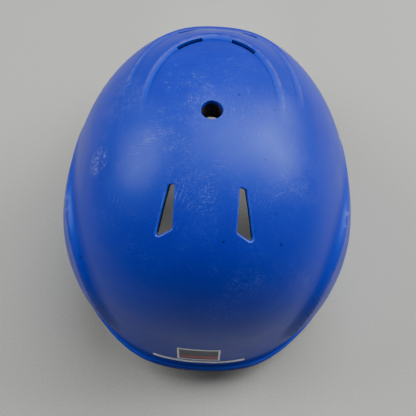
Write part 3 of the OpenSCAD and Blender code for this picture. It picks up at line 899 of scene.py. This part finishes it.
def build_crown_liner():
    cols = np.arange(0, 360, 2.0)
    levels = np.concatenate([[CROWN_RING], np.arange(1.5, CROWN_END + 0.01, 1.5)])
    edge, edge_span = 5.0, 2.6       # the lower inner edge is rounded over these mm and degrees
    outer = [tucked(cols, np.full_like(cols, v), LINER_OUT) for v in levels]
    inner = []
    for v in levels:
        drop = edge * eased(CROWN_END - v, edge_span) / edge_span
        inner.append(smooth(cols, np.full_like(cols, v), np.full_like(cols, LINER_IN - drop)))
    obj = closed_cap("crown_foam", np.array(outer), np.array(inner), [FOAM, FOAM])
    cutters = [crown_cutter(CROWN_HOLE_R + CROWN_GROW, 0)]
    for side in (-1, 1):
        cutters += [vent_cutter(side, OPENING_GROW, 0, FOAM_CUT),
                    slot_cutter(side, UPPER_STEP, UPPER_SLOT, 0, FOAM_CUT),
                    slot_cutter(side, LOWER_STEP, LOWER_SLOT, 0, FOAM_CUT)]
    cut(obj, cutters)
    smooth_shade(obj)
    return obj


def grooves(count):
    """Shallow moulded channels across a block."""
    deep, sharp = 2.2, (9 if count < 4 else 7)

    def press(s, t):
        return deep * np.exp(-(((s * count % 1.0) - 0.5) * sharp) ** 2)
    return press


place(build_crown_liner(), "foam", "liner_crown")
SIDE_SPAN = (SIDE_START + GAP / 2, SIDE_END - GAP / 2)
FOAM_BLOCKS = (
    ("front_foam", "liner_front", (GAP / 2 - SIDE_START, SIDE_START - GAP / 2), BROW_Z, 5),
    ("left_foam", "liner_left", SIDE_SPAN, SIDE_Z, 3),
    ("right_foam", "liner_right", other_side(SIDE_SPAN), SIDE_Z, 3),
    ("rear_foam", "liner_rear", (SIDE_END + GAP / 2, 360 - SIDE_END - GAP / 2), NAPE_Z, 5),
)
for name, node, azimuths, foot_z, channels in FOAM_BLOCKS:
    piece = block(name, azimuths, (LOWER_START, z_level(foot_z)), LINER_IN, [FOAM], relief=grooves(channels))
    smooth_shade(piece)
    place(piece, "foam", node)
for side, name, node in ((1, "flap_foam_l", "flap_foam_left"), (-1, "flap_foam_r", "flap_foam_right")):
    azimuths = FLAP_FOAM_SPAN if side > 0 else other_side(FLAP_FOAM_SPAN)
    levels = (z_level(FLAP_FOAM_TOP), z_level(FLAP_FOAM_FOOT))
    piece = block(name, azimuths, levels, FLAP_IN, [FOAM, FOAM], edge=4)
    cut(piece, [ear_cutter(side, EAR_HOLE_R + OPENING_GROW, 0)])
    smooth_shade(piece)
    place(piece, "foam", node)

# ---------------------------------------------------------------- comfort pads
PRESSURE, VOXEL, SHRINK, MAX_PUFF = 4.0, 0.0035, 0.0008, 0.0016
CLOTH_FRAMES = 20
PIPING_RADIUS, PIPING_SIDES = 0.7, 8


def puff(node, name):
    """A sewn pad: the CAD solid remeshed, blown up as cloth and held close to its starting shape."""
    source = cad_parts[node]
    mesh = source.data.copy()
    mesh.transform(source.matrix_world)
    mesh.materials.clear()
    mesh.materials.append(KNIT)
    obj = bpy.data.objects.new(name, mesh)
    bpy.context.scene.collection.objects.link(obj)
    shrink = obj.modifiers.new("shrink", "DISPLACE")
    shrink.strength, shrink.mid_level = -SHRINK, 0.0
    remesh = obj.modifiers.new("remesh", "REMESH")
    remesh.mode, remesh.voxel_size = "VOXEL", VOXEL
    soften = obj.modifiers.new("soften", "SMOOTH")
    soften.factor, soften.iterations = 0.5, 4
    apply_modifiers(obj)
    start = np.empty(len(obj.data.vertices) * 3)
    obj.data.vertices.foreach_get("co", start)
    cloth = obj.modifiers.new("cloth", "CLOTH")
    cloth.settings.quality = 5
    cloth.settings.use_pressure = True
    cloth.settings.uniform_pressure_force = PRESSURE
    cloth.settings.effector_weights.gravity = 0
    cloth.settings.tension_stiffness = 12
    cloth.settings.compression_stiffness = 12
    cloth.settings.bending_stiffness = 0.8
    cloth.point_cache.frame_start, cloth.point_cache.frame_end = 1, CLOTH_FRAMES
    for f in range(1, CLOTH_FRAMES + 1):
        bpy.context.scene.frame_set(f)
    apply_modifiers(obj)
    bpy.context.scene.frame_set(1)
    end = np.empty(len(obj.data.vertices) * 3)
    obj.data.vertices.foreach_get("co", end)
    move = (end - start).reshape(-1, 3)
    length = np.linalg.norm(move, axis=1, keepdims=True)
    move *= np.minimum(1, MAX_PUFF / np.maximum(length, 1e-9))
    obj.data.vertices.foreach_set("co", (start.reshape(-1, 3) + move).ravel())
    sub = obj.modifiers.new("sub", "SUBSURF")
    sub.levels = sub.render_levels = 1
    apply_modifiers(obj)
    obj.data.polygons.foreach_set("use_smooth", [True] * len(obj.data.polygons))
    place(obj, "pad_fabric", node)
    return obj


def seam(name, pad, loop):
    """Piping round a pad, laid on its blown-up surface and swept as a closed tube."""
    tree = BVHTree.FromPolygons([v.co for v in pad.data.vertices], [p.vertices for p in pad.data.polygons])
    line = []
    for p in to_world(loop):
        hit, n, _, _ = tree.find_nearest(Vector(p))
        line.append(np.array(hit + n * 0.0002))
    line = np.array(line)
    for _ in range(3):
        line = 0.5 * line + 0.25 * (np.roll(line, 1, 0) + np.roll(line, -1, 0))
    tangent = unit(np.roll(line, -1, 0) - np.roll(line, 1, 0))
    side = unit(np.cross(tangent, unit(line - line.mean(0))))
    up = np.cross(side, tangent)
    turns = [2 * math.pi * k / PIPING_SIDES for k in range(PIPING_SIDES)]
    points = np.stack([line + PIPING_RADIUS * MM * (math.cos(t) * side + math.sin(t) * up) for t in turns], 1)
    faces = []
    for i in range(len(line)):
        here, ahead = i * PIPING_SIDES, (i + 1) % len(line) * PIPING_SIDES
        for k in range(PIPING_SIDES):
            turn = (k + 1) % PIPING_SIDES
            faces.append((here + k, here + turn, ahead + turn, ahead + k))
    obj = new_object(name, points.reshape(-1, 3), faces, [PIPING])
    obj.data.polygons.foreach_set("use_smooth", [True] * len(obj.data.polygons))
    place(obj, "pad_fabric")
    return obj


def rectangle_loop(azimuths, levels, depth, grow=0.2, n=26):
    """A loop just outside a pad's edge, n points to a side."""
    a0, a1 = azimuths[0] - grow, azimuths[1] + grow
    v0, v1 = float(levels[0]) - grow, float(levels[1]) + grow
    there, back = np.linspace(a0, a1, n, False), np.linspace(a1, a0, n, False)
    down, up = np.linspace(v0, v1, n, False), np.linspace(v1, v0, n, False)
    a = np.concatenate([there, np.full(n, a1), back, np.full(n, a0)])
    v = np.concatenate([np.full(n, v0), down, np.full(n, v1), up])
    return smooth(a, v, np.full_like(a, depth))


PAD_OUT = LINER_IN + PATCH + FIT
EAR_PAD_OUT = FLAP_IN + FIT
TEMPLE, CROWN_PAD, EAR_PAD = (60, 118), (56, 124), (72, 110)
TEMPLE_LEVELS, CROWN_LEVELS, EAR_LEVELS = (66, 92), (15, 43), (z_level(80), z_level(13))
PADS = (
    ("brow_pad", "brow_cushion", (-44, 44), (76, z_level(90)), PAD_OUT),
    ("temple_pad_left", "temple_cushion_l", TEMPLE, TEMPLE_LEVELS, PAD_OUT),
    ("temple_pad_right", "temple_cushion_r", other_side(TEMPLE), TEMPLE_LEVELS, PAD_OUT),
    ("nape_pad", "nape_cushion", (148, 212), (88, z_level(60)), PAD_OUT),
    ("crown_pad_left", "crown_cushion_l", CROWN_PAD, CROWN_LEVELS, PAD_OUT),
    ("crown_pad_right", "crown_cushion_r", other_side(CROWN_PAD), CROWN_LEVELS, PAD_OUT),
    ("ear_pad_left", "ear_cushion_l", EAR_PAD, EAR_LEVELS, EAR_PAD_OUT),
    ("ear_pad_right", "ear_cushion_r", other_side(EAR_PAD), EAR_LEVELS, EAR_PAD_OUT),
)
for node, name, azimuths, levels, depth in PADS:
    pad = puff(node, name)
    seam(name + "_piping", pad, rectangle_loop(azimuths, levels, depth + PAD_THICK * 0.5))

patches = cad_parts["hook_patches"]
patches.data.materials.clear()
patches.data.materials.append(PATCHES)


# ---------------------------------------------------------------- stickers on the back
def sticker(name, azimuths, z_top, z_bottom, materials, pick, cols, rows):
    """A thin printed sheet on the shell; pick(s, t) gives the material of each cell."""
    A, Z = np.meshgrid(np.linspace(*azimuths, cols + 1), np.linspace(z_top, z_bottom, rows + 1))
    V = z_level(Z)
    out_p, in_p = skin(A, V, np.full_like(A, -STICKER_OUT)), skin(A, V, np.full_like(A, -STICKER_GAP))
    n, m = cols + 1, (cols + 1) * (rows + 1)
    faces = ring_faces(rows + 1, n, 0, False, closed=False) + ring_faces(rows + 1, n, m, True, closed=False)
    slots = 2 * [pick((j + 0.5) / cols, (i + 0.5) / rows) for i in range(rows) for j in range(cols)]
    # the cut edge all round takes the first material
    loop = list(range(cols)) + [i * n + cols for i in range(rows)]
    loop += [rows * n + j for j in range(cols, 0, -1)] + [i * n for i in range(rows, 0, -1)]
    faces += [(b, a, a + m, b + m) for a, b in zip(loop, loop[1:] + loop[:1])]
    slots += [0] * len(loop)
    points = to_world(np.vstack([out_p.reshape(-1, 3), in_p.reshape(-1, 3)]))
    obj = new_object(name, points, faces, materials)
    obj.data.polygons.foreach_set("material_index", slots)
    smooth_shade(obj, 30)
    return obj


WHITE = print_material("print_white", (0.92, 0.92, 0.94))
NAVY = print_material("print_navy", (0.010, 0.014, 0.045))
RED = print_material("print_red", (0.45, 0.02, 0.03))


def badge_pattern(s, t):
    """A plain dark badge with a pale border and a red band along it."""
    if s < 0.045 or s > 0.955 or t < 0.09 or t > 0.91:
        return 0
    return 2 if 0.62 < t < 0.80 else 1


def stripe_pattern(s, t):
    """One plain colour."""
    return 0


BADGE_SPAN, STRIPE_SPAN = (172.5, 187.5), (163.5, 196.5)
badge = sticker("badge_print", BADGE_SPAN, BADGE_TOP, BADGE_BOTTOM, [WHITE, NAVY, RED], badge_pattern, 66, 26)
place(badge, "badge", "rear_badge")
stripe = sticker("stripe_print", STRIPE_SPAN, STRIPE_TOP, STRIPE_BOTTOM, [WHITE], stripe_pattern, 150, 6)
place(stripe, "stripe", "rear_stripe")

# ---------------------------------------------------------------- floor, light, camera
FLOOR_HALF = 3
corners = [(x * FLOOR_HALF, y * FLOOR_HALF, 0) for x, y in ((-1, -1), (1, -1), (1, 1), (-1, 1))]
floor = new_object("floor", corners, [(0, 1, 2, 3)], [floor_material()])
AIM = (0, 0.03, 0.1)          # the point that the large lights face


def stand(light, position, target):
    """Puts a light in the scene, facing a point."""
    obj = bpy.data.objects.new(light.name, light)
    obj.location = position
    obj.rotation_euler = (Vector(target) - Vector(position)).to_track_quat("-Z", "Y").to_euler()
    bpy.context.scene.collection.objects.link(obj)


def area_light(name, position, size, power):
    light = bpy.data.lights.new(name, "AREA")
    light.shape, light.size, light.energy = "DISK", size, power
    stand(light, position, AIM)


def narrow_light(name, position, target, power, angle):
    light = bpy.data.lights.new(name, "SPOT")
    light.energy, light.spot_size = power, math.radians(angle)
    light.spot_blend, light.shadow_soft_size = 0.8, 0.04
    stand(light, position, target)


area_light("overhead", (-0.28, -0.30, 1.5), 1.2, 21)
area_light("key", (-0.98, -0.38, 0.98), 0.85, 20)
area_light("side", (1.0, -0.12, 0.98), 0.85, 14)
# low light through the opening under the bill
for name, x in (("under_bill_right", -0.03), ("under_bill_left", 0.03)):
    narrow_light(name, (x, -1.6, 0.30), (x, -0.07, 0), 230, 2.6)
world = bpy.data.worlds.new("studio")
world.use_nodes = True
world.node_tree.nodes["Background"].inputs["Color"].default_value = (0.92, 0.95, 1.0, 1)
world.node_tree.nodes["Background"].inputs["Strength"].default_value = 0.06
bpy.context.scene.world = world

# the camera looks down on the back of the helmet: degrees, and metres
ELEVATION, ROLL, TURN, DISTANCE = 62.1, 2.4, 1.125, 0.520
LENS_MM, SENSOR_MM = 58.59, 36.0
CENTRE = Vector((0, SHIFT_Y * MM, 0))
TARGET = CENTRE + Vector((0, 0.0162, 0.096))


def add_camera():
    data = bpy.data.cameras.new("camera")
    data.sensor_width, data.lens = SENSOR_MM, LENS_MM
    obj = bpy.data.objects.new("camera", data)
    bpy.context.scene.collection.objects.link(obj)
    e, r = math.radians(ELEVATION), math.radians(ROLL)
    back = Vector((0, math.cos(e), math.sin(e)))
    up = Vector((0, -math.sin(e), math.cos(e)))
    right = Vector((-1, 0, 0))
    # rolled so that the helmet leans clockwise in the picture
    rolled_up = up * math.cos(r) - right * math.sin(r)
    rolled_right = right * math.cos(r) + up * math.sin(r)
    basis = Matrix((rolled_right, rolled_up, back)).transposed()
    turned = Matrix.Rotation(math.radians(TURN), 4, "Z")
    around = Matrix.Translation(CENTRE) @ turned @ Matrix.Translation(-CENTRE)
    obj.matrix_world = around @ Matrix.Translation(TARGET + back * DISTANCE) @ basis.to_4x4()
    bpy.context.scene.camera = obj


add_camera()
